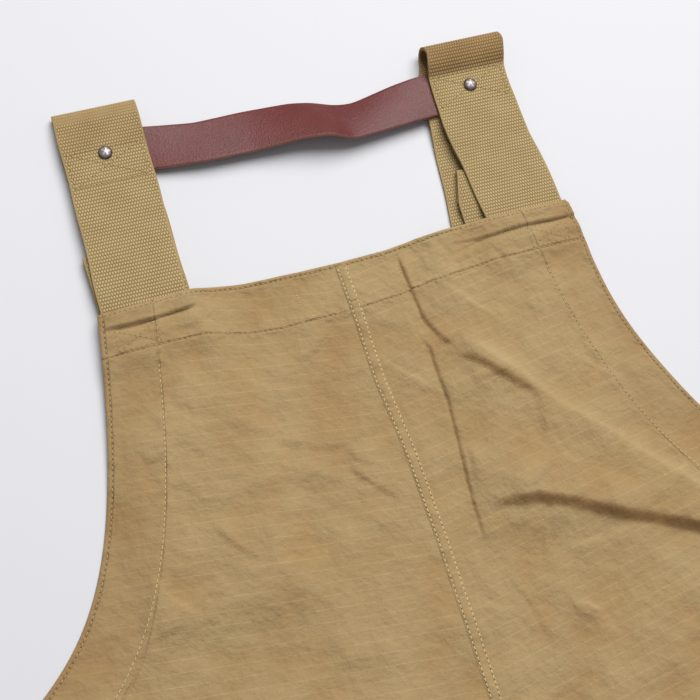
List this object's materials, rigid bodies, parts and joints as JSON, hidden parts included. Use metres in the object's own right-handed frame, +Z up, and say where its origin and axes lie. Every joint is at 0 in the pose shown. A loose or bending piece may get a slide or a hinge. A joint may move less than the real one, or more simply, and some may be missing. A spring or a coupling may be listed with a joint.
{
  "type": "butcher apron",
  "caption": "Bib apron in khaki ripstop canvas, wide webbing shoulder straps folded behind the bib and joined by a riveted leather strap, lying flat.",
  "frame": {"origin": "middle of the apron's footprint on the table, loops and straps included", "axes": "+Z up off the table; +Y from the bottom hem towards the bib and the shoulder straps; +X across, to the right as seen from above with the front up"},
  "size_m": [0.75, 0.989, 0.0172],
  "materials": {
    "canvas": "matt cotton ripstop canvas, khaki",
    "webbing": "heavy woven cotton webbing, khaki",
    "leather": "smooth burgundy leather, satin, raw cut edges",
    "rivet_metal": "antique silver, hammered dome",
    "label_tape": "blank woven tape"
  },
  "bodies": {
    "root": {"left_panel": "canvas", "right_panel": "canvas", "centre_seam": "canvas", "top_facing": "canvas", "bottom_hem": "canvas", "left_armhole_facing": "canvas", "right_armhole_facing": "canvas", "left_side_hem": "canvas", "right_side_hem": "canvas", "left_shoulder_strap": "webbing", "right_shoulder_strap": "webbing", "left_tie_loop": "webbing", "right_tie_loop": "webbing", "neck_leather": "leather", "left_rivet_cap": "rivet_metal", "right_rivet_cap": "rivet_metal", "left_rivet_post": "rivet_metal", "right_rivet_post": "rivet_metal", "woven_label": "label_tape"}
  },
  "joints": []
}
